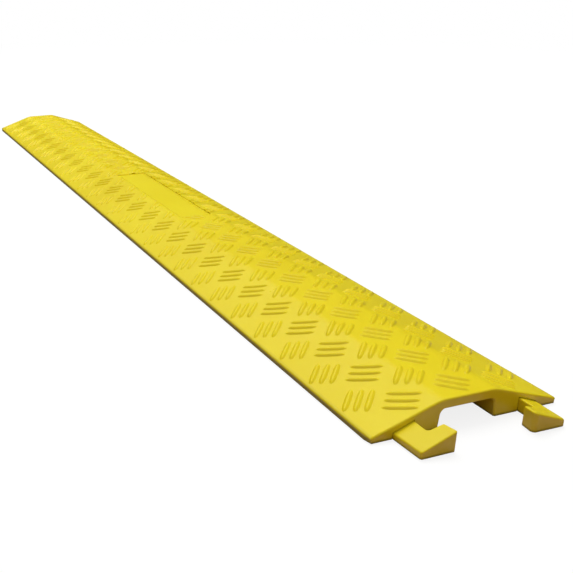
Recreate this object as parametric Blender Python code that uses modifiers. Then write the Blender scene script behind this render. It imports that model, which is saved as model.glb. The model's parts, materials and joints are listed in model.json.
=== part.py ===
"""Drop-over cable protector ramp, one module of a run.

A low yellow moulding lies on the floor over a cable. Its two slopes meet a flat
crest, and a single channel, open to the floor, runs along its whole length.
Two L-shaped connector hooks stand out of one end, and the opposite end has two
L-shaped sockets underneath, so the next module drops over the hooks.

Frame: X along the module with the hooks towards +X, Y across it, Z up, and the
floor at Z = 0. The origin is the middle of the whole footprint, hooks included.
In object names "left" is the -Y side and "right" is the +Y side.
"""

import math

import bmesh
import bpy
from mathutils import Matrix, Vector

MM = 0.001
SIDES = ((-1, "left"), (1, "right"))

# ---------------------------------------------------------------- dimensions
GAP = 0.3 * MM  # between pieces that seat in one another
OVER = 5.0 * MM  # cutters run this far past what they cut

RAMP_LENGTH = 1000.0 * MM  # without the hooks
RAMP_WIDTH = 130.0 * MM
RAMP_HEIGHT = 18.6 * MM
EDGE_HEIGHT = 3.3 * MM  # upright edge at the foot of each slope
CREST_WIDTH = 37.0 * MM  # flat top between the two slopes
CREST_RADIUS = 7.0 * MM
EDGE_RADIUS = 1.2 * MM

CHANNEL_HALF_WIDTH = 19.5 * MM  # at the floor
CHANNEL_DRAFT = 1.1 * MM  # the channel narrows by this on each side
CHANNEL_HEIGHT = 12.2 * MM
CHANNEL_RADIUS = 3.6 * MM

POCKET_COUNT = 15
POCKET_PITCH = 60.0 * MM
POCKET_RIB = 5.0 * MM  # left standing between neighbouring pockets
POCKET_LENGTH = POCKET_PITCH - POCKET_RIB
POCKET_START = 42.0 * MM  # from the socket end
POCKET_ROWS = (  # label, y from, y to, depth
    ("inner", 24.5 * MM, 34.5 * MM, 9.0 * MM),
    ("outer", 38.5 * MM, 48.0 * MM, 5.2 * MM),
)

# Hook plan: x is measured from the ramp's end, y from the middle plane.
HOOK_REACH = 23.0 * MM  # how far the hooks stand out of the end
HOOK_INNER = 36.5 * MM  # inner side of the arm
HOOK_OUTER_ROOT = 50.0 * MM  # outer side of the arm where it leaves the ramp
HOOK_OUTER_TIP = 48.8 * MM
HOOK_TOE = 26.2 * MM  # end of the inward toe
HOOK_TOE_BACK = 11.4 * MM  # back of the toe
HOOK_TOE_BEVEL = 1.2 * MM  # slant at the back corner of the toe
HOOK_TOE_SKEW = 0.2 * MM  # shift of the front corner of the toe
HOOK_ELBOW_RADIUS = 2.4 * MM
HOOK_TOE_RADIUS = 2.6 * MM
HOOK_TIP_RADIUS = 1.4 * MM

# The hook's top face slopes down away from the middle plane.
HOOK_EDGE_Y = 49.0 * MM
HOOK_EDGE_Z = 4.3 * MM  # height of the top at HOOK_EDGE_Y
HOOK_TOP_SLOPE = 0.385
BLANK_HEIGHT = 20.0 * MM  # hooks and their cutters, before the slope trims them

SHANK_LENGTH = 28.0 * MM  # straight part held inside the ramp
SHANK_OVERLAP = 2.0 * MM  # the shank runs this far into the head
SHANK_ROOT_X = -SHANK_LENGTH - SHANK_OVERLAP
HEAD_LENGTH = 12.0 * MM  # head that stops the hook pulling out
HEAD_INNER = 29.0 * MM
HEAD_HEIGHT = HOOK_EDGE_Z - 0.6 * MM

SLOT_RISE = GAP * 1.07  # GAP square to the sloping top, measured upright
SOCKET_CLEARANCE = 0.5 * MM  # round a neighbour's hook, in plan
SOCKET_RISE = 0.4 * MM  # above a neighbour's hook

# Slabs that trim to the slope, wider and longer than what they trim.
SLAB_INNER = 20.0 * MM
SLAB_OUTER = 55.0 * MM
SLAB_END_X = 40.0 * MM
HOOK_SLAB_START_X = -60.0 * MM
SOCKET_SLAB_START_X = -20.0 * MM

PLATE_CENTRE_FROM_HOOK_END = 475.0 * MM
PLATE_LENGTH = 186.0 * MM
PLATE_WIDTH = 33.0 * MM
PLATE_THICKNESS = 1.0 * MM
PLATE_SUNK = 0.5 * MM  # its face lies this far below the crest
PLATE_RADIUS = 2.0 * MM
PLATE_CORNER_STEPS = 4

STRIP_CENTRE_Y = 56.0 * MM
STRIP_WIDTH = 8.0 * MM
STRIP_LENGTH = 440.0 * MM
STRIP_THICKNESS = 1.4 * MM
STRIP_SPACING = 480.0 * MM  # between the centres of two strips in line
STRIP_RADIUS = 1.5 * MM

# ------------------------------------------------------------ derived places
SOCKET_END_X = -(RAMP_LENGTH + HOOK_REACH) / 2
HOOK_END_X = SOCKET_END_X + RAMP_LENGTH
RAMP_MIDDLE_X = (SOCKET_END_X + HOOK_END_X) / 2

# ---------------------------------------------------------------------- scene
for old in list(bpy.data.objects):
    bpy.data.objects.remove(old, do_unlink=True)

parts = bpy.data.collections.new("cable_protector_ramp")
cutters = bpy.data.collections.new("cutters")
bpy.context.scene.collection.children.link(parts)
bpy.context.scene.collection.children.link(cutters)

root = bpy.data.objects.new("ramp_origin", None)
parts.objects.link(root)


# ------------------------------------------------------------------ materials
def material(name, color, roughness):
    mat = bpy.data.materials.new(name)
    mat.use_nodes = True
    shader = mat.node_tree.nodes["Principled BSDF"]
    shader.inputs["Base Color"].default_value = (*color, 1.0)
    shader.inputs["Roughness"].default_value = roughness
    mat.diffuse_color = (*color, 1.0)
    return mat


shell_plastic = material("shell_yellow", color=(0.83, 0.66, 0.022), roughness=0.42)
hook_plastic = material("hook_yellow", color=(0.81, 0.64, 0.025), roughness=0.45)
plate_plastic = material("plate_yellow", color=(0.84, 0.67, 0.022), roughness=0.38)
grip_rubber = material("grip_rubber", color=(0.03, 0.03, 0.032), roughness=0.85)


# ------------------------------------------------------------------- outlines
def rounded(corners, steps=3):
    """Outline points of a polygon given as (x, y, radius) corners."""
    points = []
    count = len(corners)
    for i, (x, y, radius) in enumerate(corners):
        here = Vector((x, y))
        if radius <= 0:
            points.append(here)
            continue
        before = (Vector(corners[i - 1][:2]) - here).normalized()
        after = (Vector(corners[(i + 1) % count][:2]) - here).normalized()
        half_angle = before.angle(after) / 2
        tangent = radius / math.tan(half_angle)  # from the corner to the arc's ends
        to_centre = radius / math.sin(half_angle)
        centre = here + (before + after).normalized() * to_centre
        start = here + before * tangent - centre
        end = here + after * tangent - centre
        turn = start.angle_signed(end)
        for step in range(steps + 1):
            # angle_signed counts clockwise as positive, so the sign is flipped.
            angle = -turn * step / steps
            cosine, sine = math.cos(angle), math.sin(angle)
            spoke = (cosine * start.x - sine * start.y, sine * start.x + cosine * start.y)
            points.append(centre + Vector(spoke))
    return points


def rectangle(x_from, x_to, y_from, y_to):
    return [(x_from, y_from), (x_to, y_from), (x_to, y_to), (x_from, y_to)]


def rounded_rectangle(length, width, radius, grow=0.0, steps=3):
    """A centred rectangle with round corners, grown all round."""
    x, y = length / 2 + grow, width / 2 + grow
    corners = rectangle(-x, x, -y, y)
    return rounded([(*corner, radius + grow) for corner in corners], steps)


def on_side(side, points):
    """Points (x, y) or (x, y, radius) for the +Y side, mirrored for side -1."""
    return [(x, side * y, *radius) for x, y, *radius in points]


# --------------------------------------------------------------------- solids
def prism(name, outline, low, high, origin, along="Z", collection=cutters):
    """A flat outline extruded from low to high along Z or X, as a welded mesh.

    Along Z the outline is (x, y); along X it is (y, z). Everything is relative
    to origin, which becomes the object's location.
    """
    curve = bpy.data.curves.new(name + "_outline", "CURVE")
    curve.dimensions = "2D"
    curve.fill_mode = "BOTH"
    curve.extrude = (high - low) / 2
    spline = curve.splines.new("POLY")
    spline.points.add(len(outline) - 1)
    for point, (across, up) in zip(spline.points, outline):
        point.co = (across, up, 0.0, 1.0)
    spline.use_cyclic_u = True
    guide = bpy.data.objects.new(name + "_guide", curve)
    bpy.context.scene.collection.objects.link(guide)
    bpy.context.view_layer.update()
    graph = bpy.context.evaluated_depsgraph_get()
    mesh = bpy.data.meshes.new_from_object(guide.evaluated_get(graph))
    bpy.data.objects.remove(guide, do_unlink=True)
    mesh.name = name

    placing = Matrix.Translation((0.0, 0.0, (low + high) / 2))
    if along == "X":
        # Cycles the axes: outline x to Y, outline y to Z, extrusion to X.
        placing = Matrix(((0, 0, 1, 0), (1, 0, 0, 0), (0, 1, 0, 0), (0, 0, 0, 1))) @ placing
    mesh.transform(placing)

    work = bmesh.new()
    work.from_mesh(mesh)
    bmesh.ops.remove_doubles(work, verts=work.verts, dist=1e-6)
    bmesh.ops.dissolve_limit(
        work, angle_limit=math.radians(0.2), verts=work.verts, edges=work.edges
    )
    bmesh.ops.recalc_face_normals(work, faces=work.faces)
    work.to_mesh(mesh)
    work.free()
    mesh.materials.clear()
    obj = bpy.data.objects.new(name, mesh)
    obj.location = origin
    collection.objects.link(obj)
    return obj


def slope_slab(name, side, rise, start_x, origin):
    """Everything below the hook's sloping top face, raised by rise."""

    def top_z(y):
        return HOOK_EDGE_Z + HOOK_TOP_SLOPE * (HOOK_EDGE_Y - y) + rise

    outline = [
        (side * SLAB_INNER, -OVER),
        (side * SLAB_OUTER, -OVER),
        (side * SLAB_OUTER, top_z(SLAB_OUTER)),
        (side * SLAB_INNER, top_z(SLAB_INNER)),
    ]
    return prism(name, outline, start_x, SLAB_END_X, origin, along="X")


def combine(obj, other, operation):
    """Add a Boolean to obj; other becomes a hidden helper."""
    mod = obj.modifiers.new(operation.lower() + "_" + other.name, "BOOLEAN")
    mod.operation = operation
    mod.object = other
    mod.solver = "EXACT"
    other.hide_render = True
    other.display_type = "WIRE"


def finish(obj, mat):
    obj.data.materials.append(mat)
    obj.parent = root


# ----------------------------------------------------------------- ramp shell
def build_shell():
    edge_y = RAMP_WIDTH / 2
    crest_y = CREST_WIDTH / 2
    section = rounded(
        [
            (-edge_y, 0.0, 0.0),
            (edge_y, 0.0, 0.0),
            (edge_y, EDGE_HEIGHT, EDGE_RADIUS),
            (crest_y, RAMP_HEIGHT, CREST_RADIUS),
            (-crest_y, RAMP_HEIGHT, CREST_RADIUS),
            (-edge_y, EDGE_HEIGHT, EDGE_RADIUS),
        ]
    )
    shell = prism(
        "ramp_shell",
        section,
        -RAMP_LENGTH / 2,
        RAMP_LENGTH / 2,
        (RAMP_MIDDLE_X, 0.0, 0.0),
        along="X",
        collection=parts,
    )
    finish(shell, shell_plastic)
    return shell


def cut_channel(shell):
    """The cable channel, open to the floor, with a little draft and a rounded roof."""
    roof_y = CHANNEL_HALF_WIDTH - CHANNEL_DRAFT
    # The drafted walls carry on below the floor at the same slant.
    foot_y = CHANNEL_HALF_WIDTH + CHANNEL_DRAFT * OVER / CHANNEL_HEIGHT
    section = rounded(
        [
            (-foot_y, -OVER, 0.0),
            (foot_y, -OVER, 0.0),
            (roof_y, CHANNEL_HEIGHT, CHANNEL_RADIUS),
            (-roof_y, CHANNEL_HEIGHT, CHANNEL_RADIUS),
        ]
    )
    reach = RAMP_LENGTH / 2 + OVER
    origin = (RAMP_MIDDLE_X, 0.0, 0.0)
    channel = prism("channel_cutter", section, -reach, reach, origin, along="X")
    combine(shell, channel, "DIFFERENCE")


def cut_pocket_row(shell, label, y_from, y_to, depth):
    """A row of pockets under each leg, with a rib between neighbours."""
    name = label + "_pocket_cutter"
    mesh = bpy.data.meshes.new(name)
    work = bmesh.new()
    bmesh.ops.create_cube(work, size=1.0)
    size = (POCKET_LENGTH, y_to - y_from, depth + OVER)
    bmesh.ops.scale(work, vec=size, verts=work.verts)
    # The origin stays on the middle plane, so that Mirror reflects across it.
    bmesh.ops.translate(work, vec=(0.0, (y_from + y_to) / 2, 0.0), verts=work.verts)
    work.to_mesh(mesh)
    work.free()
    pocket = bpy.data.objects.new(name, mesh)
    first_x = SOCKET_END_X + POCKET_START + POCKET_LENGTH / 2
    pocket.location = (first_x, 0.0, (depth - OVER) / 2)
    cutters.objects.link(pocket)

    row = pocket.modifiers.new("row", "ARRAY")
    row.count = POCKET_COUNT
    row.use_relative_offset = False
    row.use_constant_offset = True
    row.constant_offset_displace = (POCKET_PITCH, 0.0, 0.0)
    twin = pocket.modifiers.new("other_leg", "MIRROR")
    twin.use_axis = (False, True, False)
    twin.use_mirror_merge = False
    twin.merge_threshold = 0.0001
    combine(shell, pocket, "DIFFERENCE")


# ---------------------------------------------------------- hooks and sockets
def head_outline(side, grow=0.0):
    """Plan of the head that keeps the shank in its slot."""
    plan = rectangle(
        -SHANK_LENGTH - HEAD_LENGTH - grow,
        -SHANK_LENGTH + grow,
        HEAD_INNER - grow,
        HOOK_OUTER_ROOT + grow,
    )
    return on_side(side, plan)


def build_hook(side, word):
    """Shank, arm and toe in one outline, cut to the sloping top, plus a head."""
    origin = (HOOK_END_X, 0.0, 0.0)
    plan = [
        (SHANK_ROOT_X, HOOK_INNER, 0.0),
        (HOOK_TOE_BACK, HOOK_INNER, HOOK_ELBOW_RADIUS),
        (HOOK_TOE_BACK + HOOK_TOE_BEVEL, HOOK_TOE + HOOK_TOE_BEVEL, 0.0),
        (HOOK_REACH - HOOK_TOE_SKEW, HOOK_TOE - HOOK_TOE_SKEW, HOOK_TOE_RADIUS),
        (HOOK_REACH, HOOK_OUTER_TIP, HOOK_TIP_RADIUS),
        (0.0, HOOK_OUTER_ROOT, 0.0),
        (SHANK_ROOT_X, HOOK_OUTER_ROOT, 0.0),
    ]
    outline = rounded(on_side(side, plan))
    hook = prism(
        "connector_hook_" + word, outline, 0.0, BLANK_HEIGHT, origin, collection=parts
    )
    slab = slope_slab("hook_slab_" + word, side, 0.0, HOOK_SLAB_START_X, origin)
    combine(hook, slab, "INTERSECT")
    head = prism("hook_head_" + word, head_outline(side), 0.0, HEAD_HEIGHT, origin)
    combine(hook, head, "UNION")
    finish(hook, hook_plastic)


def cut_hook_slot(shell, side, word):
    """The hook's seat in the ramp, a gap wider all round and open to the floor."""
    origin = (HOOK_END_X, 0.0, 0.0)
    plan = rectangle(SHANK_ROOT_X - GAP, OVER, HOOK_INNER - GAP, HOOK_OUTER_ROOT + GAP)
    slot = prism(
        "shank_slot_cutter_" + word, on_side(side, plan), -OVER, BLANK_HEIGHT, origin
    )
    slab = slope_slab("slot_slab_" + word, side, SLOT_RISE, HOOK_SLAB_START_X, origin)
    combine(slot, slab, "INTERSECT")
    combine(shell, slot, "DIFFERENCE")
    head_slot = prism(
        "head_slot_cutter_" + word,
        head_outline(side, grow=GAP),
        -OVER,
        HEAD_HEIGHT + GAP,
        origin,
    )
    combine(shell, head_slot, "DIFFERENCE")


def cut_socket(shell, side, word):
    """The socket under the -X end, which drops over a neighbour's hook."""
    origin = (SOCKET_END_X, 0.0, 0.0)
    arm_y = HOOK_INNER - SOCKET_CLEARANCE
    toe_y = HOOK_TOE - SOCKET_CLEARANCE
    outer_y = HOOK_OUTER_ROOT + SOCKET_CLEARANCE
    toe_back_x = HOOK_TOE_BACK - SOCKET_CLEARANCE
    tip_x = HOOK_REACH + SOCKET_CLEARANCE
    plan = [
        (-OVER, arm_y),
        (toe_back_x, arm_y),
        (toe_back_x, toe_y),
        (tip_x, toe_y),
        (tip_x, outer_y),
        (-OVER, outer_y),
    ]
    socket = prism(
        "socket_cutter_" + word, on_side(side, plan), -OVER, BLANK_HEIGHT, origin
    )
    slab = slope_slab("socket_slab_" + word, side, SOCKET_RISE, SOCKET_SLAB_START_X, origin)
    combine(socket, slab, "INTERSECT")
    combine(shell, socket, "DIFFERENCE")


# ---------------------------------------------------------------- label plate
def plate_outline(grow=0.0):
    return rounded_rectangle(
        PLATE_LENGTH, PLATE_WIDTH, PLATE_RADIUS, grow, steps=PLATE_CORNER_STEPS
    )


def build_label_plate(shell):
    """A thin plate in a recess in the crest."""
    origin = (HOOK_END_X - PLATE_CENTRE_FROM_HOOK_END, 0.0, 0.0)
    top = RAMP_HEIGHT - PLATE_SUNK
    bottom = top - PLATE_THICKNESS
    recess = prism(
        "plate_recess_cutter", plate_outline(GAP), bottom - GAP, RAMP_HEIGHT + OVER, origin
    )
    combine(shell, recess, "DIFFERENCE")
    plate = prism("label_plate", plate_outline(), bottom, top, origin, collection=parts)
    finish(plate, plate_plastic)


# ---------------------------------------------------------------- grip strips
def strip_outline(grow=0.0):
    return rounded_rectangle(STRIP_LENGTH, STRIP_WIDTH, STRIP_RADIUS, grow)


def build_grip_strip(shell, name, origin):
    """A rubber strip in a groove underneath, flush with the floor."""
    groove = prism(
        name + "_groove_cutter", strip_outline(GAP), -OVER, STRIP_THICKNESS + GAP, origin
    )
    combine(shell, groove, "DIFFERENCE")
    strip = prism(name, strip_outline(), 0.0, STRIP_THICKNESS, origin, collection=parts)
    finish(strip, grip_rubber)


# ------------------------------------------------------------------- assembly
ramp_shell = build_shell()
cut_channel(ramp_shell)
for pocket_row in POCKET_ROWS:
    cut_pocket_row(ramp_shell, *pocket_row)

for side, word in SIDES:
    build_hook(side, word)
    cut_hook_slot(ramp_shell, side, word)
    cut_socket(ramp_shell, side, word)

build_label_plate(ramp_shell)

# "near" strips lie towards the hook end, "far" strips towards the socket end.
for side, word in SIDES:
    for direction, where in ((1, "near"), (-1, "far")):
        strip_x = RAMP_MIDDLE_X + direction * STRIP_SPACING / 2
        strip_origin = (strip_x, side * STRIP_CENTRE_Y, 0.0)
        build_grip_strip(ramp_shell, f"grip_strip_{word}_{where}", strip_origin)

bpy.context.view_layer.update()
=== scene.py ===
import json
import math

import bmesh
import bpy
import numpy as np
from mathutils import Matrix, Vector
from mathutils.geometry import delaunay_2d_cdt

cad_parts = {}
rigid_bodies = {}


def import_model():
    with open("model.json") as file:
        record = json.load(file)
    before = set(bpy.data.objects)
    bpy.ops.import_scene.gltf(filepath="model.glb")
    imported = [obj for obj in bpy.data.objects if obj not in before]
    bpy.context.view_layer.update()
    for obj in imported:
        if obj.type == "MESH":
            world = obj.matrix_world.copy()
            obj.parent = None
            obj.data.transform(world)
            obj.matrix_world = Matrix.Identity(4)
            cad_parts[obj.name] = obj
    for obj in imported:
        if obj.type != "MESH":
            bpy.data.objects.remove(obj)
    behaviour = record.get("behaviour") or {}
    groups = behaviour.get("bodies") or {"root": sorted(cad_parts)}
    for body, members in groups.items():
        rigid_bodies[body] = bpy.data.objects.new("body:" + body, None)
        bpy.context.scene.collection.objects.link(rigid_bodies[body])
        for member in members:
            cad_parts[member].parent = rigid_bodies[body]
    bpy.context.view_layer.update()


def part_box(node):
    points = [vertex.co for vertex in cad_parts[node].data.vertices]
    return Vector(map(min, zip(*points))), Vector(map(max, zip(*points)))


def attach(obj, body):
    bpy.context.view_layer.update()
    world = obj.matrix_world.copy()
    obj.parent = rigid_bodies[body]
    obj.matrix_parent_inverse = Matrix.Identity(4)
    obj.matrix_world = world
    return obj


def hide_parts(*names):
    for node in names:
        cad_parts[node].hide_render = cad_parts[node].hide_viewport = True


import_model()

MM = 0.001
BODY = "root"

# --------------------------------------------------------------------------
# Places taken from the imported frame
# --------------------------------------------------------------------------
shell_lo, shell_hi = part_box("ramp_shell")
SOCKET_X, HOOK_X = shell_lo.x, shell_hi.x  # the shell's two ends
HALF = shell_hi.y
TOP = shell_hi.z
hook_lo, hook_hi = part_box("connector_hook_right")
REACH = hook_hi.x - HOOK_X
plate_lo, plate_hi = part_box("label_plate")

# Section of the shell, the same as the CAD's.
EDGE_Z = 3.3 * MM
CREST = 18.5 * MM
CREST_R = 24.0 * MM
FOOT_R = 1.6 * MM
END_R = 1.3 * MM  # softened edge round both ends
ALPHA = math.atan((TOP - EDGE_Z) / (HALF - CREST))
TAN = math.tan(ALPHA)
ARC_FROM = CREST - CREST_R * math.tan(ALPHA / 2)
ARC_TO = ARC_FROM + CREST_R * math.sin(ALPHA)
FOOT_T = FOOT_R / math.tan((math.pi / 2 + ALPHA) / 2)
FOOT_C = (HALF - FOOT_R, EDGE_Z - FOOT_T)
FOOT_FROM = FOOT_C[0] + FOOT_R * math.sin(ALPHA)


def section(y):
    """Height of the smooth skin over y, and its outward normal (y, z)."""
    y = np.asarray(y, float)
    a = np.abs(y)
    z = TOP - (a - CREST) * TAN
    angle = np.full_like(a, ALPHA)
    arc = (a > ARC_FROM) & (a < ARC_TO)
    angle = np.where(arc, np.arcsin(np.clip((a - ARC_FROM) / CREST_R, 0, 1)), angle)
    z = np.where(arc, TOP - CREST_R + CREST_R * np.cos(angle), z)
    flat = a <= ARC_FROM
    angle = np.where(flat, 0.0, angle)
    z = np.where(flat, TOP, z)
    return z, np.sign(y) * np.sin(angle), np.cos(angle)


# --------------------------------------------------------------------------
# Mesh helpers
# --------------------------------------------------------------------------
def rounded(corners, steps=6):
    """Outline points of a polygon given as (x, y, radius) corners."""
    points = []
    count = len(corners)
    for i, (x, y, radius) in enumerate(corners):
        here = Vector((x, y))
        if radius <= 0:
            points.append(here)
            continue
        before = (Vector(corners[i - 1][:2]) - here).normalized()
        after = (Vector(corners[(i + 1) % count][:2]) - here).normalized()
        half = before.angle(after) / 2
        centre = here + (before + after).normalized() * (radius / math.sin(half))
        start = here + before * (radius / math.tan(half)) - centre
        end = here + after * (radius / math.tan(half)) - centre
        turn = start.angle_signed(end)
        for step in range(steps + 1):
            angle = -turn * step / steps
            c, s = math.cos(angle), math.sin(angle)
            points.append(
                centre + Vector((c * start.x - s * start.y, s * start.x + c * start.y))
            )
    return points


def new_object(name, mesh, collection=None):
    obj = bpy.data.objects.new(name, mesh)
    (collection or bpy.context.scene.collection).objects.link(obj)
    return obj


def prism(name, outline, low, high, along="Z", at=(0.0, 0.0, 0.0), collection=None):
    """A closed extrusion. Along Z the outline is (x, y); along X it is (y, z)."""
    outline = [tuple(p) for p in outline]
    area = sum(
        a[0] * b[1] - b[0] * a[1] for a, b in zip(outline, outline[1:] + outline[:1])
    )
    if area < 0:
        outline.reverse()
    n = len(outline)
    if along == "Z":
        verts = [(a, b, low) for a, b in outline] + [(a, b, high) for a, b in outline]
    else:
        verts = [(low, a, b) for a, b in outline] + [(high, a, b) for a, b in outline]
    faces = [tuple(range(n))[::-1], tuple(range(n, 2 * n))]
    faces += [(i, (i + 1) % n, n + (i + 1) % n, n + i) for i in range(n)]
    mesh = bpy.data.meshes.new(name)
    mesh.from_pydata([tuple(Vector(v) + Vector(at)) for v in verts], [], faces)
    mesh.validate()
    return new_object(name, mesh, collection)


def boolean(obj, other, operation, solver="MANIFOLD"):
    mod = obj.modifiers.new(operation, "BOOLEAN")
    mod.operation = operation
    mod.solver = solver
    if isinstance(other, bpy.types.Collection):
        mod.operand_type = "COLLECTION"
        mod.collection = other
    else:
        mod.object = other


def apply_modifiers(obj):
    bpy.context.view_layer.update()
    graph = bpy.context.evaluated_depsgraph_get()
    mesh = bpy.data.meshes.new_from_object(obj.evaluated_get(graph))
    old = obj.data
    obj.modifiers.clear()
    obj.data = mesh
    mesh.name = obj.name
    if old.users == 0:
        bpy.data.meshes.remove(old)


def remove(objects):
    for o in list(objects):
        mesh = o.data
        bpy.data.objects.remove(o, do_unlink=True)
        if mesh is not None and mesh.users == 0:
            bpy.data.meshes.remove(mesh)


def mirrored(corners, side):
    return [(x, side * y, r) for x, y, r in corners]


# --------------------------------------------------------------------------
# Tread: groups of three lens-shaped bars, in two directions by turns
# --------------------------------------------------------------------------
PITCH = 36.55 * MM  # along the ramp, between groups of one direction
FIRST = 15.3 * MM  # first group, from the hook end
ROW = 17.0 * MM  # between rows of groups, across the ramp
GROUPS = 27
BAR_LENGTH = 20.4 * MM
BAR_WIDTH = 4.2 * MM
BAR_PITCH = 6.3 * MM
BAR_HEIGHT = 1.15 * MM
OUTLINE = 26
RINGS = (1.0, 0.92, 0.8, 0.64, 0.44, 0.22)
END_SLOPE = 1.7  # how much gentler a bar's ends are than its sides


def bar_rings():
    """Points (along, across, height) of a bar's rings, outermost first, and its top."""
    theta = np.arange(OUTLINE) * 2 * math.pi / OUTLINE
    c, s = np.cos(theta), np.sin(theta)
    a = np.sign(c) * np.abs(c) ** 0.8
    b = np.sign(s) * (1 - np.minimum(np.abs(a), 1) ** 4.0) ** 0.55
    rings = []
    for q in RINGS:
        h = (1 - q**2.2) ** 1.45 if q < 1 else 0.0
        wide = BAR_WIDTH / 2 * q
        long = BAR_LENGTH / 2 - END_SLOPE * (BAR_WIDTH / 2 - wide)
        rings.append(np.stack([a * long, b * wide, np.full(OUTLINE, h)], axis=1))
    return rings


def bar_places():
    """Centre (x, y), direction and cross direction of every bar of the tread."""
    r = math.sqrt(0.5)
    found = []
    for k in range(GROUPS):
        for shift, rows, along in (
            (0.0, (-2, 0, 2), (r, r)),
            (0.46, (-3, -1, 1, 3), (r, -r)),
        ):
            x = HOOK_X - FIRST - PITCH * (k + shift)
            across = (-along[1], along[0])
            for row in rows:
                for j in (-1, 0, 1):
                    found.append(
                        (
                            x + j * BAR_PITCH * across[0],
                            row * ROW + j * BAR_PITCH * across[1],
                            along,
                            across,
                        )
                    )
    return found


def inside_plate(x, y):
    """Whether a bar centred here lies mostly within the sunken panel."""
    reach = 0.5 * MM
    return (
        plate_lo.x + reach < x < plate_hi.x - reach
        and plate_lo.y + reach < y < plate_hi.y - reach
    )


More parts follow.
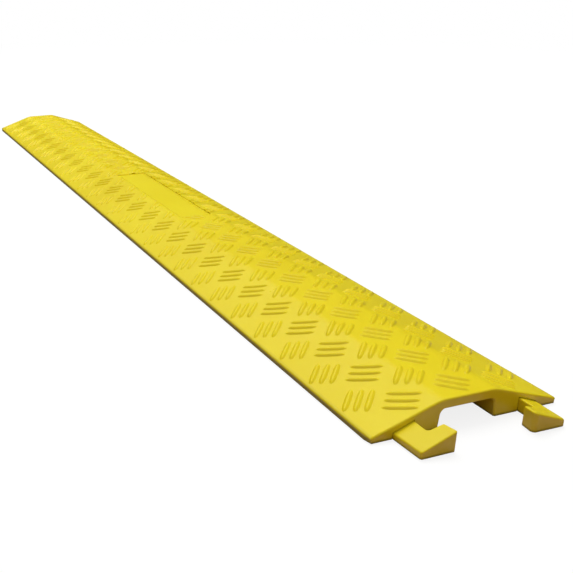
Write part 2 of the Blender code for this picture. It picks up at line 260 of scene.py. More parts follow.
def build_tread_solid():
    """The whole outer form, tread and all, closed underneath by a flat base."""
    rings = bar_rings()
    bars = [b for b in bar_places() if not inside_plate(b[0], b[1])]
    x_lo, x_hi = SOCKET_X + END_R, HOOK_X - END_R
    y_hi = FOOT_FROM

    plan, edges, faces = [], [], []

    def add(x, y):
        plan.append((x, y))
        return len(plan) - 1

    # Rim of the sheet, in order, corner to corner.
    ridge_ys = [ARC_FROM + (ARC_TO - ARC_FROM) * i / 4 for i in range(5)]
    ys = sorted(
        set(
            round(v, 9)
            for v in list(np.linspace(-y_hi, -ARC_TO, 12))
            + list(np.linspace(-ARC_FROM, ARC_FROM, 10))
            + list(np.linspace(ARC_TO, y_hi, 12))
            + ridge_ys
            + [-v for v in ridge_ys]
        )
    )
    xs = np.linspace(x_lo, x_hi, 251)
    rim_plan = [(x, -y_hi) for x in xs]
    rim_plan += [(x_hi, y) for y in ys[1:]]
    rim_plan += [(x, y_hi) for x in xs[::-1][1:]]
    rim_plan += [(x_lo, y) for y in ys[::-1][1:-1]]
    rim = [add(x, y) for x, y in rim_plan]
    edges += [(a, b) for a, b in zip(rim, rim[1:] + rim[:1])]

    # Bars: their outlines are holes in the sheet.
    centres = np.array([(b[0], b[1]) for b in bars])
    outlines = []
    for x, y, along, across in bars:
        ring = rings[0]
        px = x + ring[:, 0] * along[0] + ring[:, 1] * across[0]
        py = y + ring[:, 0] * along[1] + ring[:, 1] * across[1]
        ids = [add(u, v) for u, v in zip(px, py)]
        outlines.append(ids)
        faces.append(ids)

    # Fold lines along both edges of the crest, kept clear of the bars.
    step = 2.0 * MM
    count = int((x_hi - x_lo) / step)
    line_x = np.linspace(x_lo, x_hi, count + 1)[1:-1]
    directions = np.array([b[2] for b in bars])
    for y in ridge_ys + [-v for v in ridge_ys]:
        dx = line_x[:, None] - centres[None, :, 0]
        dy = y - centres[None, :, 1]
        u = (dx * directions[:, 0] + dy * directions[:, 1]) / (
            BAR_LENGTH / 2 + 0.5 * MM
        )
        v = (-dx * directions[:, 1] + dy * directions[:, 0]) / (
            BAR_WIDTH / 2 + 0.5 * MM
        )
        bow = np.clip(1 - np.abs(u) ** 4.0, 0, 1) ** 0.55
        inside = (np.abs(u) < 1) & (np.abs(v) < bow + 0.12)
        clear = ~inside.any(axis=1)
        before = None
        for x, ok in zip(line_x, clear):
            here = add(x, y) if ok else None
            if before is not None and here is not None:
                edges.append((before, here))
            before = here

    out_verts, _, out_faces, orig_verts, _, orig_faces = delaunay_2d_cdt(
        [Vector(p) for p in plan], edges, faces, 0, 1e-7
    )
    place = {}
    for i, sources in enumerate(orig_verts):
        for s in sources:
            place[s] = i

    flat = np.array([tuple(v) for v in out_verts], float)
    z, ny, nz = section(flat[:, 1])
    points = [np.stack([flat[:, 0], flat[:, 1], z], axis=1)]
    total = len(flat)
    # A face whose corners all lie on one side of the rim is a leftover of the hull.
    quads = [
        tuple(f)
        for f, o in zip(out_faces, orig_faces)
        if not o
        and np.ptp(flat[list(f), 0]) > 1e-6
        and np.ptp(flat[list(f), 1]) > 1e-6
    ]

    # The raised part of each bar, ring by ring up to a top point.
    for (x, y, along, across), ids in zip(bars, outlines):
        below = [place[i] for i in ids]
        for ring in rings[1:]:
            px = x + ring[:, 0] * along[0] + ring[:, 1] * across[0]
            py = y + ring[:, 0] * along[1] + ring[:, 1] * across[1]
            h = ring[:, 2] * BAR_HEIGHT
            sz, sy, sn = section(py)
            points.append(np.stack([px, py + h * sy, sz + h * sn], axis=1))
            here = list(range(total, total + OUTLINE))
            total += OUTLINE
            for i in range(OUTLINE):
                j = (i + 1) % OUTLINE
                quads.append((below[i], below[j], here[j], here[i]))
            below = here
        sz, sy, sn = section(np.array([y]))
        h = BAR_HEIGHT
        points.append(np.array([[x, y + h * sy[0], sz[0] + h * sn[0]]]))
        for i in range(OUTLINE):
            quads.append((below[i], below[(i + 1) % OUTLINE], total))
        total += 1

    # Softened feet and ends: rings outside the rim, then walls to the floor.
    rim_xy = np.array(rim_plan)
    side = np.where(np.abs(np.abs(rim_xy[:, 1]) - y_hi) < 1e-9, np.sign(rim_xy[:, 1]), 0)
    end = np.where(
        np.abs(rim_xy[:, 0] - x_hi) < 1e-9,
        1.0,
        np.where(np.abs(rim_xy[:, 0] - x_lo) < 1e-9, -1.0, 0.0),
    )
    below = [place[i] for i in rim]
    base_z, base_ny, base_nz = section(rim_xy[:, 1])
    for f in (0.25, 0.5, 0.75, 1.0, None):
        if f is None:
            ring = points[-1].copy()
            ring[:, 2] = 0.0
        else:
            th = ALPHA + (math.pi / 2 - ALPHA) * f
            ph = math.pi / 2 * f
            on_side = side != 0
            py = np.where(on_side, side * (FOOT_C[0] + FOOT_R * math.sin(th)), rim_xy[:, 1])
            pz = np.where(on_side, FOOT_C[1] + FOOT_R * math.cos(th), base_z)
            nyy = np.where(on_side, side * math.sin(th), base_ny)
            nzz = np.where(on_side, math.cos(th), base_nz)
            drop = np.where(end != 0, END_R * (1 - math.cos(ph)), 0.0)
            px = rim_xy[:, 0] + end * END_R * math.sin(ph)
            ring = np.stack([px, py - drop * nyy, pz - drop * nzz], axis=1)
        points.append(ring)
        here = list(range(total, total + len(ring)))
        total += len(ring)
        n = len(here)
        for i in range(n):
            j = (i + 1) % n
            quads.append((below[j], below[i], here[i], here[j]))
        below = here
    quads.append(tuple(below[::-1]))

    mesh = bpy.data.meshes.new("ramp_shell_visual")
    mesh.from_pydata(np.concatenate(points).tolist(), [], quads)
    work = bmesh.new()
    work.from_mesh(mesh)
    bmesh.ops.recalc_face_normals(work, faces=work.faces)
    loose = [e for e in work.edges if len(e.link_faces) != 2]
    print("tread solid", len(work.verts), len(work.faces), "open edges", len(loose))
    work.to_mesh(mesh)
    work.free()
    return new_object("ramp_shell_visual", mesh)


# --------------------------------------------------------------------------
# What is cut from the shell: the CAD's channel, pockets, slots and sockets
# --------------------------------------------------------------------------
HOOK_INNER = 36.5 * MM
HOOK_OUTER_ROOT = 50.0 * MM
HOOK_OUTER_TIP = 48.8 * MM
HOOK_TOE = 26.2 * MM
HOOK_TOE_BACK = 11.4 * MM
KEY = 28.0 * MM
HEAD = 12.0 * MM
HEAD_INNER = 29.0 * MM
HEAD_TOP = 3.7 * MM
HOOK_Z, HOOK_SLOPE = 4.3 * MM, 0.385
GAP = 0.3 * MM
OVER = 5.0 * MM


def slab(name, side, rise, x0, x1, at, collection):
    z_at = lambda y: HOOK_Z + HOOK_SLOPE * (49 * MM - y) + rise
    y0, y1 = 20 * MM, 55 * MM
    outline = [
        (side * y0, -OVER),
        (side * y1, -OVER),
        (side * y1, z_at(y1)),
        (side * y0, z_at(y0)),
    ]
    return prism(name, outline, x0, x1, "X", at, collection)


def box_outline(x0, x1, y0, y1, side=1):
    return [(x0, side * y0), (x1, side * y0), (x1, side * y1), (x0, side * y1)]


def channel_cutter(collection):
    """The channel, its mouth softly rounded where it meets both end faces."""
    wide, roof, height, soft = 19.5 * MM, 18.4 * MM, 12.2 * MM, 0.8 * MM
    below = (wide - roof) * OVER / height
    stations = []
    for i in range(6):
        inward = soft * math.sin(math.pi / 2 * i / 5)
        stations.append((inward, soft * (1 - math.cos(math.pi / 2 * (1 - i / 5)))))
    xs = [(SOCKET_X - OVER, soft)] + [(SOCKET_X + d, g) for d, g in stations]
    xs += [(HOOK_X - d, g) for d, g in stations[::-1]] + [(HOOK_X + OVER, soft)]
    verts, faces = [], []
    for x, grow in xs:
        ring = rounded(
            [
                (-wide - below - grow, -OVER, 0),
                (wide + below + grow, -OVER, 0),
                (roof + grow, height + grow, 3.6 * MM + grow),
                (-roof - grow, height + grow, 3.6 * MM + grow),
            ]
        )
        verts += [(x, p.x, p.y) for p in ring]
    n = len(ring)
    faces.append(tuple(range(n))[::-1])
    for s in range(len(xs) - 1):
        for i in range(n):
            j = (i + 1) % n
            faces.append((s * n + i, s * n + j, (s + 1) * n + j, (s + 1) * n + i))
    faces.append(tuple(range((len(xs) - 1) * n, len(xs) * n)))
    mesh = bpy.data.meshes.new("cut_channel")
    mesh.from_pydata(verts, [], faces)
    new_object("cut_channel", mesh, collection)


def build_cutters():
    cutters = bpy.data.collections.new("shell_cutters")
    bpy.context.scene.collection.children.link(cutters)
    at_hook, at_socket = (HOOK_X, 0, 0), (SOCKET_X, 0, 0)
    channel_cutter(cutters)
    for side in (-1, 1):
        for y0, y1, depth in ((24.5, 34.5, 9.0), (38.5, 48.0, 5.2)):
            for i in range(15):
                x0 = SOCKET_X + (42.0 + 60.0 * i) * MM
                a, b = side * y0 * MM, side * y1 * MM
                prism(
                    "cut_pocket",
                    rounded(
                        [
                            (x0, a, 1.2 * MM),
                            (x0 + 55 * MM, a, 1.2 * MM),
                            (x0 + 55 * MM, b, 1.2 * MM),
                            (x0, b, 1.2 * MM),
                        ],
                        steps=2,
                    ),
                    -OVER,
                    depth * MM,
                    "Z",
                    (0, 0, 0),
                    cutters,
                )
        y = side * 56.0 * MM
        for place in (-1, 1):
            x = (SOCKET_X + HOOK_X) / 2 + place * 240 * MM
            a, b, r = 220.3 * MM, 4.3 * MM, 1.8 * MM
            prism(
                "cut_groove",
                rounded(
                    [(x - a, y - b, r), (x + a, y - b, r), (x + a, y + b, r), (x - a, y + b, r)]
                ),
                -OVER,
                1.7 * MM,
                "Z",
                (0, 0, 0),
                cutters,
            )
        slot = prism(
            "cut_slot",
            box_outline(-KEY - 2.3 * MM, OVER, HOOK_INNER - GAP, HOOK_OUTER_ROOT + GAP, side),
            -OVER,
            20 * MM,
            "Z",
            at_hook,
            cutters,
        )
        limit = slab("slot_limit", side, GAP * 1.07, -60 * MM, 40 * MM, at_hook, None)
        boolean(slot, limit, "INTERSECT")
        apply_modifiers(slot)
        remove([limit])
        head = prism(
            "cut_head",
            box_outline(-KEY - HEAD - GAP, -KEY + GAP, HEAD_INNER - GAP, HOOK_OUTER_ROOT + GAP, side),
            -OVER,
            HEAD_TOP + GAP,
            "Z",
            at_hook,
            cutters,
        )
        c = 0.5 * MM
        socket = prism(
            "cut_socket",
            [
                (-OVER, side * (HOOK_INNER - c)),
                (HOOK_TOE_BACK - c, side * (HOOK_INNER - c)),
                (HOOK_TOE_BACK - c, side * (HOOK_TOE - c)),
                (REACH + c, side * (HOOK_TOE - c)),
                (REACH + c, side * (HOOK_OUTER_ROOT + c)),
                (-OVER, side * (HOOK_OUTER_ROOT + c)),
            ],
            -OVER,
            20 * MM,
            "Z",
            at_socket,
            cutters,
        )
        limit = slab("socket_limit", side, 0.4 * MM, -20 * MM, 40 * MM, at_socket, None)
        boolean(socket, limit, "INTERSECT")
        apply_modifiers(socket)
        remove([limit])
    g = GAP
    prism(
        "cut_recess",
        rounded(
            [
                (plate_lo.x - g, plate_lo.y - g, 2.3 * MM),
                (plate_hi.x + g, plate_lo.y - g, 2.3 * MM),
                (plate_hi.x + g, plate_hi.y + g, 2.3 * MM),
                (plate_lo.x - g, plate_hi.y + g, 2.3 * MM),
            ]
        ),
        plate_lo.z - g,
        TOP + OVER,
        "Z",
        (0, 0, 0),
        cutters,
    )
    return cutters


def recalc(obj):
    work = bmesh.new()
    work.from_mesh(obj.data)
    bmesh.ops.recalc_face_normals(work, faces=work.faces)
    work.to_mesh(obj.data)
    work.free()



# --------------------------------------------------------------------------
# Soft-edged pieces
# --------------------------------------------------------------------------
def soft_prism(name, corners, bottom, top, r_top, r_bottom, steps=4, corner_steps=7):
    """A prism whose upper and lower edges are rounded over. top may be a function."""
    outline = rounded(corners, corner_steps)
    area = sum(
        a.x * b.y - b.x * a.y for a, b in zip(outline, outline[1:] + outline[:1])
    )
    if area < 0:
        outline.reverse()
    n = len(outline)
    miters = []
    for i, p in enumerate(outline):
        a = (p - outline[i - 1]).normalized()
        b = (outline[(i + 1) % n] - p).normalized()
        na, nb = Vector((a.y, -a.x)), Vector((b.y, -b.x))
        m = (na + nb).normalized()
        miters.append(m / max(0.3, m.dot(na)))
    height = top if callable(top) else (lambda x, y: top)
    rings = []
    for i in range(steps + 1):
        a = math.pi / 2 * i / steps
        inset = r_bottom * (1 - math.sin(a))
        rings.append(
            [
                (p.x - m.x * inset, p.y - m.y * inset, bottom + r_bottom * (1 - math.cos(a)))
                for p, m in zip(outline, miters)
            ]
        )
    for i in range(steps + 1):
        a = math.pi / 2 * i / steps
        inset = r_top * (1 - math.cos(a))
        ring = []
        for p, m in zip(outline, miters):
            x, y = p.x - m.x * inset, p.y - m.y * inset
            ring.append((x, y, height(x, y) - r_top * (1 - math.sin(a))))
        rings.append(ring)
    verts = [v for ring in rings for v in ring]
    faces = [tuple(range(n))[::-1]]
    for k in range(len(rings) - 1):
        for i in range(n):
            j = (i + 1) % n
            faces.append((k * n + i, k * n + j, (k + 1) * n + j, (k + 1) * n + i))
    faces.append(tuple(range((len(rings) - 1) * n, len(rings) * n)))
    mesh = bpy.data.meshes.new(name)
    mesh.from_pydata(verts, [], faces)
    obj = new_object(name, mesh)
    recalc(obj)
    return obj


def at_end(corners, side):
    return [(HOOK_X + x, side * y, r) for x, y, r in corners]


def build_hook(name, side):
    def top(x, y):
        return HOOK_Z + HOOK_SLOPE * (49 * MM - abs(y))

    soft = (0.9 if side < 0 else 1.4) * MM
    corner = soft + 0.4 * MM

    hook = soft_prism(
        name,
        at_end(
            [
                (-KEY - 2 * MM, HOOK_INNER, corner),
                (HOOK_TOE_BACK, HOOK_INNER, 2.4 * MM),
                (HOOK_TOE_BACK + 1.2 * MM, HOOK_TOE + 1.2 * MM, corner),
                (REACH - 0.2 * MM, HOOK_TOE - 0.2 * MM, (1.3 if side < 0 else 2.6) * MM),
                (REACH, HOOK_OUTER_TIP, corner + 0.2 * MM),
                (0.0, HOOK_OUTER_ROOT, 3.0 * MM),
                (-KEY - 2 * MM, HOOK_OUTER_ROOT, corner),
            ],
            side,
        ),
        0.0,
        top,
        soft,
        0.35 * MM,
    )
    head = soft_prism(
        name + "_head",
        at_end(
            [
                (-KEY - HEAD, HEAD_INNER, 1.0 * MM),
                (-KEY, HEAD_INNER, 1.0 * MM),
                (-KEY, HOOK_OUTER_ROOT - 0.05 * MM, 1.0 * MM),
                (-KEY - HEAD, HOOK_OUTER_ROOT - 0.05 * MM, 1.0 * MM),
            ],
            side,
        ),
        0.02 * MM,
        HEAD_TOP,
        0.4 * MM,
        0.3 * MM,
        corner_steps=4,
    )
    boolean(hook, head, "UNION")
    apply_modifiers(hook)
    remove([head])
    return hook


def build_plate(name):
    """The blank label plate: a shallow border line runs round its face."""
    x0, x1, y0, y1 = plate_lo.x, plate_hi.x, plate_lo.y, plate_hi.y
    rings = []
    for inset, z in (
        (0.0, plate_lo.z),
        (0.0, plate_hi.z - 0.35 * MM),
        (0.10 * MM, plate_hi.z - 0.12 * MM),
        (0.35 * MM, plate_hi.z),
        (1.9 * MM, plate_hi.z),
        (2.1 * MM, plate_hi.z - 0.1 * MM),
        (2.25 * MM, plate_hi.z - 0.35 * MM),
        (2.75 * MM, plate_hi.z - 0.35 * MM),
        (2.9 * MM, plate_hi.z - 0.1 * MM),
        (3.1 * MM, plate_hi.z),
        (4.5 * MM, plate_hi.z),
    ):
        radius = max(0.5 * MM, 2.0 * MM - inset)
        ring = rounded(
            [
                (x0 + inset, y0 + inset, radius),
                (x1 - inset, y0 + inset, radius),
                (x1 - inset, y1 - inset, radius),
                (x0 + inset, y1 - inset, radius),
            ],
            7,
        )
        rings.append([(p.x, p.y, z) for p in ring])
    n = len(rings[0])
    verts = [v for ring in rings for v in ring]
    faces = [tuple(range(n))[::-1]]
    for k in range(len(rings) - 1):
        for i in range(n):
            j = (i + 1) % n
            faces.append((k * n + i, k * n + j, (k + 1) * n + j, (k + 1) * n + i))
    faces.append(tuple(range((len(rings) - 1) * n, len(rings) * n)))
    mesh = bpy.data.meshes.new(name)
    mesh.from_pydata(verts, [], faces)
    obj = new_object(name, mesh)
    recalc(obj)
    return obj


def build_strip(name, lo, hi):
    """A rubber strip with ribs across its underside."""
    period, rib, depth, r = 4.0 * MM, 2.7 * MM, 0.45 * MM, 0.3 * MM
    middle, half = (lo.y + hi.y) / 2, (hi.y - lo.y) / 2
    stations = [(lo.x, 0.25 * MM), (lo.x + 0.25 * MM, 0.0)]
    count = int((hi.x - lo.x) / period)
    start = lo.x + ((hi.x - lo.x) - count * period) / 2
    for i in range(count):
        x = start + i * period + rib / 2
        if i == 0:
            x = start + rib / 2
        stations += [
            (x, 0.0),
            (x + 0.18 * MM, depth),
            (x + period - rib - 0.18 * MM, depth),
            (x + period - rib, 0.0),
        ]
    stations += [(hi.x - 0.25 * MM, 0.0), (hi.x, 0.25 * MM)]
    verts = []
    for x, lift in stations:
        b, t = lo.z + lift, hi.z
        verts += [
            (x, middle - half, b + r),
            (x, middle - half + r, b),
            (x, middle + half - r, b),
            (x, middle + half, b + r),
            (x, middle + half, t - r),
            (x, middle + half - r, t),
            (x, middle - half + r, t),
            (x, middle - half, t - r),
        ]
    n = 8
    faces = [tuple(range(n))[::-1]]
    for k in range(len(stations) - 1):
        for i in range(n):
            j = (i + 1) % n
            faces.append((k * n + i, k * n + j, (k + 1) * n + j, (k + 1) * n + i))
    faces.append(tuple(range((len(stations) - 1) * n, len(stations) * n)))
    mesh = bpy.data.meshes.new(name)
    mesh.from_pydata(verts, [], faces)
    obj = new_object(name, mesh)
    recalc(obj)
    return obj


def shade(obj, angle=40.0):
    mesh = obj.data
    mesh.shade_smooth()
    mesh.set_sharp_from_angle(angle=math.radians(angle))
    mod = obj.modifiers.new("weighted_normals", "WEIGHTED_NORMAL")
    mod.keep_sharp = True
    mod.weight = 50


# --------------------------------------------------------------------------
# Materials
# --------------------------------------------------------------------------
class Nodes:
    """A small wrapper that makes node trees readable."""

    def __init__(self, tree):
        self.tree = tree

    def add(self, kind, **inputs):
        node = self.tree.nodes.new(kind)
        for key, value in inputs.items():
            if key.startswith("p_"):
                setattr(node, key[2:], value)
        for key, value in inputs.items():
            if key.startswith("p_"):
                continue
            socket = node.inputs[int(key[1:])] if key[0] == "i" and key[1:].isdigit() else node.inputs[key.replace("_", " ")]
            if isinstance(value, bpy.types.NodeSocket):
                self.tree.links.new(value, socket)
            else:
                socket.default_value = value
        return node

    def noise(self, vector, scale, detail=2.0, roughness=0.5, stretch=None):
        if stretch:
            vector = self.add(
                "ShaderNodeMapping", Vector=vector, Scale=stretch
            ).outputs[0]
        return self.add(
            "ShaderNodeTexNoise",
            Vector=vector,
            Scale=scale,
            Detail=detail,
            Roughness=roughness,
        ).outputs["Fac"]

    def span(self, value, a, b, c=0.0, d=1.0):
        return self.add(
            "ShaderNodeMapRange", i0=value, i1=a, i2=b, i3=c, i4=d
        ).outputs[0]

    def math(self, operation, a, b=0.0):
        return self.add("ShaderNodeMath", p_operation=operation, i0=a, i1=b).outputs[0]

    def mix(self, factor, a, b):
        node = self.tree.nodes.new("ShaderNodeMix")
        node.data_type = "RGBA"
        for socket, value in ((node.inputs[0], factor), (node.inputs[6], a), (node.inputs[7], b)):
            if isinstance(value, bpy.types.NodeSocket):
                self.tree.links.new(value, socket)
            else:
                socket.default_value = value
        return node.outputs[2]


def yellow_plastic(name, base, seed, rough=0.33, grain=1.0, shade_amount=1.0):
    """Moulded plastic: flow mottling, a fine grain, faint scuffs in streaks,
    and painted shade in the corners, along the lowest edges and along the feet."""
    mat = bpy.data.materials.new(name)
    mat.use_nodes = True
    tree = mat.node_tree
    tree.nodes.clear()
    n = Nodes(tree)
    ground = n.add("ShaderNodeTexCoord").outputs["Object"]
    place = n.add(
        "ShaderNodeMapping", Vector=ground, Location=(seed * 1.7, seed * 0.9, seed * 0.3)
    ).outputs[0]

    r, g, b = base
    light = (min(1, r * 1.03), min(1, g * 1.035), b * 1.5, 1)
    deep = (r * 0.955, g * 0.92, b * 0.75, 1)
    shade_tint = (r * 0.52, g * 0.34, b * 0.7, 1)
    worn = (min(1, r * 1.02), min(1, g * 1.05), b * 6.0 + 0.03, 1)

    flow = n.span(n.noise(place, 9.0, 3.0, 0.55, (0.6, 1.6, 1.0)), 0.3, 0.7)
    cloud = n.span(n.noise(place, 55.0, 3.0, 0.6), 0.3, 0.7)
    colour = n.mix(flow, deep, light)
    colour = n.mix(n.math("MULTIPLY", cloud, 0.28), colour, (r, g, b, 1))
    speck = n.span(n.noise(place, 620.0, 2.0, 0.6), 0.60, 0.74)
    colour = n.mix(n.math("MULTIPLY", speck, 0.16), colour, deep)

    # Painted shade in the corners, from ambient occlusion, broken up by noise.
    corner_shade = n.add(
        "ShaderNodeAmbientOcclusion", p_samples=6, p_only_local=True, Distance=0.0035
    ).outputs["AO"]
    corner_shade = n.span(corner_shade, 0.93, 0.45)
    patch = n.span(n.noise(place, 140.0, 3.0, 0.6), 0.25, 0.7, 0.45, 1.0)
    corner_shade = n.math("MULTIPLY", corner_shade, patch)
    colour = n.mix(n.math("MULTIPLY", corner_shade, 0.5 * shade_amount), colour, shade_tint)

    # Painted shade along the lowest edges: a dark contact band, broken up by noise, up the bottom of
    # every wall, and a darkened foot face along both sides.
    parts = n.add("ShaderNodeSeparateXYZ", Vector=ground).outputs
    # A painted contact shadow, darkest at the floor.
    low = n.span(parts[2], 0.0019, 0.0002)
    low = n.math("MULTIPLY", low, n.span(n.noise(place, 90.0, 3.0, 0.6), 0.2, 0.7, 0.55, 0.9))
    # Painted shade on the vertical foot face along both sides.
    foot_face_shade = n.span(n.math("ABSOLUTE", parts[1]), HALF - 0.0014, HALF - 0.0003, 0.0, 0.7)
    foot_face_shade = n.math("MULTIPLY", foot_face_shade, n.span(parts[2], 0.0030, 0.0018))
    low = n.math("MAXIMUM", n.math("MULTIPLY", low, shade_amount), foot_face_shade)
    # Painted shade: a darker olive band along the rounded feet at both sides.
    rim = n.span(n.math("ABSOLUTE", parts[1]), HALF - 0.0026, HALF - 0.0012, 0.0, 0.25)
    colour = n.mix(rim, colour, (r * 0.45, g * 0.48, b * 3.0, 1))
    # Lays on the painted contact shadow and the painted foot-face shade.
    colour = n.mix(low, colour, (r * 0.15, g * 0.15, b * 1.2, 1))

    # Faint scuffs and rubbed spots, mostly along the module.
    scuff = n.span(n.noise(place, 38.0, 5.0, 0.72, (0.35, 2.4, 1.0)), 0.60, 0.78)
    fine = n.span(n.noise(place, 260.0, 3.0, 0.7, (0.2, 2.5, 1.0)), 0.58, 0.72)
    scuff = n.math("MULTIPLY", scuff, fine)
    colour = n.mix(n.math("MULTIPLY", scuff, 0.35), colour, worn)

    roughness = n.span(n.noise(place, 30.0, 4.0, 0.6), 0.2, 0.8, rough - 0.07, rough + 0.07)
    roughness = n.math("ADD", roughness, n.math("MULTIPLY", scuff, 0.18))
    roughness = n.math("ADD", roughness, n.math("MULTIPLY", corner_shade, 0.15))
    roughness = n.math("ADD", roughness, n.math("MULTIPLY", low, 0.35))

    peel = n.noise(place, 210.0, 2.0, 0.5)
    grains = n.noise(place, 1500.0, 2.0, 0.6)
    wave = n.noise(place, 26.0, 2.0, 0.4)
    height = n.math(
        "ADD",
        n.math("MULTIPLY", peel, 0.5),
        n.math("ADD", n.math("MULTIPLY", grains, 0.22 * grain), n.math("MULTIPLY", wave, 1.6)),
    )
    height = n.math("SUBTRACT", height, n.math("MULTIPLY", scuff, 0.1))
    bump = n.add("ShaderNodeBump", Strength=0.55, Distance=0.00022, Height=height).outputs[0]

    shader = n.add(
        "ShaderNodeBsdfPrincipled",
        Base_Color=colour,
        Roughness=roughness,
        Normal=bump,
    )
    shader.inputs["IOR"].default_value = 1.5
    shader.inputs["Specular IOR Level"].default_value = 0.5
    shader.inputs["Subsurface Weight"].default_value = 0.4
    shader.inputs["Subsurface Radius"].default_value = (0.9, 0.75, 0.1)
    shader.inputs["Subsurface Scale"].default_value = 0.0018
    out = n.add("ShaderNodeOutputMaterial")
    tree.links.new(shader.outputs[0], out.inputs[0])
    return mat


def black_rubber(name):
    mat = bpy.data.materials.new(name)
    mat.use_nodes = True
    tree = mat.node_tree
    tree.nodes.clear()
    n = Nodes(tree)
    place = n.add("ShaderNodeTexCoord").outputs["Object"]
    bloom = n.span(n.noise(place, 45.0, 4.0, 0.6), 0.35, 0.75)
    dust = n.span(n.noise(place, 420.0, 3.0, 0.65), 0.55, 0.75)
    colour = n.mix(bloom, (0.018, 0.018, 0.019, 1), (0.042, 0.041, 0.040, 1))
    colour = n.mix(n.math("MULTIPLY", dust, 0.35), colour, (0.13, 0.12, 0.10, 1))
    roughness = n.span(bloom, 0.0, 1.0, 0.72, 0.92)
    grains = n.noise(place, 1900.0, 3.0, 0.7)
    pits = n.noise(place, 350.0, 2.0, 0.5)
    height = n.math("ADD", n.math("MULTIPLY", grains, 0.5), pits)
    bump = n.add("ShaderNodeBump", Strength=0.6, Distance=0.00015, Height=height).outputs[0]
    shader = n.add(
        "ShaderNodeBsdfPrincipled", Base_Color=colour, Roughness=roughness, Normal=bump
    )
    shader.inputs["Specular IOR Level"].default_value = 0.3
    out = n.add("ShaderNodeOutputMaterial")
    tree.links.new(shader.outputs[0], out.inputs[0])
    return mat


# --------------------------------------------------------------------------
# Build and place every piece
# --------------------------------------------------------------------------
def dress(obj, node, mat, angle=40.0):
    obj.data.materials.clear()
    obj.data.materials.append(mat)
    for poly in obj.data.polygons:
        poly.material_index = 0
    shade(obj, angle)
    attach(obj, BODY)
    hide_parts(node)


YELLOW = (0.80, 0.66, 0.008)
shell_mat = yellow_plastic("shell_yellow", YELLOW, 1.0)
hook_mat = yellow_plastic("hook_yellow", (0.78, 0.645, 0.010), 2.0, rough=0.34)
plate_mat = yellow_plastic("plate_yellow", (0.81, 0.67, 0.007), 3.0, rough=0.32, grain=0.5)
rubber_mat = black_rubber("grip_rubber")

shell = build_tread_solid()
cutters = build_cutters()
for cutter in cutters.objects:
    recalc(cutter)
boolean(shell, cutters, "DIFFERENCE")
apply_modifiers(shell)
remove(cutters.objects)
bpy.data.collections.remove(cutters)
dress(shell, "ramp_shell", shell_mat)

for side, word in ((-1, "left"), (1, "right")):
    hook = build_hook("connector_hook_" + word + "_visual", side)
    dress(hook, "connector_hook_" + word, hook_mat, 50.0)
    for place in ("near", "far"):
        node = "grip_strip_" + word + "_" + place
        strip = build_strip(node + "_visual", *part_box(node))
        dress(strip, node, rubber_mat, 35.0)

plate = build_plate("label_plate_visual")
dress(plate, "label_plate", plate_mat, 50.0)

# --------------------------------------------------------------------------
# Stage: pale floor, soft light, camera
# --------------------------------------------------------------------------
scene = bpy.context.scene
scene.view_settings.view_transform = "Standard"
scene.view_settings.look = "None"
scene.view_settings.exposure = 0.0
scene.view_settings.gamma = 1.0


def build_floor():
    """A large round floor with a faint unevenness in tone."""
    mesh = bpy.data.meshes.new("floor")
    work = bmesh.new()
    bmesh.ops.create_circle(work, cap_ends=True, radius=30.0, segments=96)
    work.to_mesh(mesh)
    work.free()
    obj = new_object("floor", mesh)
    obj.location = (0.0, 0.0, -0.0002)
    mat = bpy.data.materials.new("floor_pale")
    mat.use_nodes = True
    tree = mat.node_tree
    tree.nodes.clear()
    n = Nodes(tree)
    place = n.add("ShaderNodeTexCoord").outputs["Object"]
    drift = n.span(n.noise(place, 1.5, 3.0, 0.5), 0.3, 0.7, 0.97, 1.0)
    seen = n.add("ShaderNodeCombineColor", Red=drift, Green=drift, Blue=drift).outputs[0]
    ray = n.add("ShaderNodeLightPath").outputs
    path, mirror = ray["Is Camera Ray"], ray["Is Glossy Ray"]
    # Seen in a reflection, the floor is bright from above and dark at a glance.
    look = n.add("ShaderNodeSeparateXYZ", Vector=n.add("ShaderNodeNewGeometry").outputs["Incoming"])
    glance = n.span(look.outputs[2], 0.12, 0.35)
    shown = n.mix(glance, (0.05, 0.05, 0.05, 1), (0.6, 0.5, 0.62, 1))
    bounce = n.mix(mirror, (0.32, 0.195, 0.17, 1), shown)
    colour = n.mix(path, bounce, seen)
    near = n.add("ShaderNodeBsdfDiffuse", Color=colour).outputs[0]
    # Lit evenly, faintly shaded under the object, and running into the backdrop
    # unseen far out.
    glow = n.mix(path, n.mix(mirror, (0.25, 0.16, 0.15, 1), shown), (1.0, 1.0, 1.0, 1))
    far = n.add("ShaderNodeEmission", Color=glow, Strength=1.0).outputs[0]
    radius = n.add("ShaderNodeVectorMath", p_operation="LENGTH", Vector=place)
    reach = n.span(radius.outputs["Value"], 0.75, 1.9, n.math("MULTIPLY", path, 0.84), 1.0)
    shader = n.add("ShaderNodeMixShader", i0=reach, i1=near, i2=far)
    out = n.add("ShaderNodeOutputMaterial")
    tree.links.new(shader.outputs[0], out.inputs[0])
    mesh.materials.append(mat)
    return obj


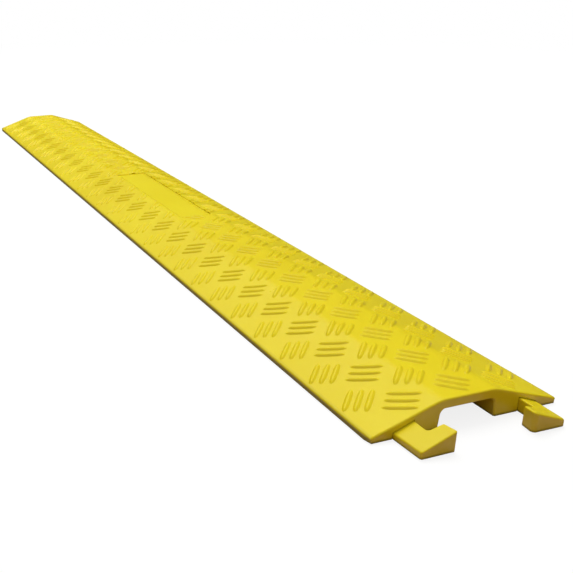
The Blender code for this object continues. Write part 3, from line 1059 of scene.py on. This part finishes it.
def build_world():
    """White to the camera; to the object, a soft sky that is brightest overhead."""
    world = bpy.data.worlds.new("studio")
    scene.world = world
    world.use_nodes = True
    tree = world.node_tree
    tree.nodes.clear()
    n = Nodes(tree)
    direction = n.add("ShaderNodeTexCoord").outputs["Generated"]
    parts = n.add("ShaderNodeSeparateXYZ", Vector=direction)
    up = n.span(parts.outputs[2], 0.34, 0.66)
    back = n.span(parts.outputs[0], -0.7, 0.7)
    low = n.mix(back, (0.14, 0.14, 0.14, 1), (0.225, 0.145, 0.14, 1))
    sky = n.mix(up, low, (0.7, 0.7, 0.7, 1))
    aside = n.span(parts.outputs[1], -0.6, 0.8, 1.05, 0.7)
    sky = n.mix(aside, (0, 0, 0, 1), sky)
    # Reflections see a dark room with one soft panel.
    facing = n.add(
        "ShaderNodeVectorMath", p_operation="DOT_PRODUCT", i0=direction, i1=(-0.60, 0.10, 0.79)
    ).outputs["Value"]
    shine = n.mix(n.span(facing, 0.88, 0.985), (0.05, 0.05, 0.055, 1), (1.25, 1.25, 1.25, 1))
    ray = n.add("ShaderNodeLightPath").outputs
    sky = n.mix(ray["Is Glossy Ray"], sky, shine)
    colour = n.mix(ray["Is Camera Ray"], sky, (1.0, 1.0, 1.0, 1))
    shader = n.add("ShaderNodeBackground", Color=colour, Strength=1.0)
    out = n.add("ShaderNodeOutputWorld")
    tree.links.new(shader.outputs[0], out.inputs[0])


def area_light(name, location, target, size, power, colour=(1, 1, 1)):
    data = bpy.data.lights.new(name, "AREA")
    data.shape = "DISK"
    data.size = size
    data.energy = power
    data.color = colour
    obj = bpy.data.objects.new(name, data)
    obj.location = location
    obj.rotation_euler = (
        (Vector(target) - Vector(location)).to_track_quat("-Z", "Y").to_euler()
    )
    scene.collection.objects.link(obj)
    return obj


def build_camera():
    """A near, low viewpoint. Its off-centre frame holds only from there."""
    f, cx, cy, size = 837.849, 119.70, 284.44, 573.0
    rvec = Vector((1.66699, 1.1688, -0.82483))
    at = Vector((0.8334 + (SOCKET_X + HOOK_X) / 2, -0.3208, 0.2526))
    turn = Matrix.Rotation(rvec.length, 3, rvec.normalized())
    right, down, forward = turn[0].copy(), turn[1].copy(), turn[2].copy()
    frame_matrix = Matrix((right, -down, -forward)).transposed().to_4x4()
    data = bpy.data.cameras.new("camera")
    data.sensor_fit = "HORIZONTAL"
    data.sensor_width = 36.0
    data.lens = f * 36.0 / size
    data.clip_start, data.clip_end = 0.01, 100.0
    obj = bpy.data.objects.new("camera", data)
    scene.collection.objects.link(obj)
    obj.matrix_world = Matrix.Translation(at) @ frame_matrix
    for path, amount in (
        ("shift_x", (size / 2 - cx) / size),
        ("shift_y", (cy - size / 2) / size),
    ):
        curve = data.driver_add(path)
        for modifier in list(curve.modifiers):
            curve.modifiers.remove(modifier)
        curve.driver.type = "SUM"
        value = curve.driver.variables.new()
        value.type = "SINGLE_PROP"
        value.targets[0].id = obj
        value.targets[0].data_path = "location[0]"
        for x, y in ((at.x - 0.02, 0.0), (at.x - 0.006, amount), (at.x + 0.006, 0.0)):
            curve.keyframe_points.insert(x, y).interpolation = "CONSTANT"
        curve.extrapolation = "CONSTANT"
    scene.camera = obj
    return obj


build_floor()
build_world()
key = area_light("key", (-0.98, 0.5, 2.8), (0, 0, 0), 2.3, 79.5, (0.985, 1.0, 0.96))
key.visible_glossy = False
build_camera()
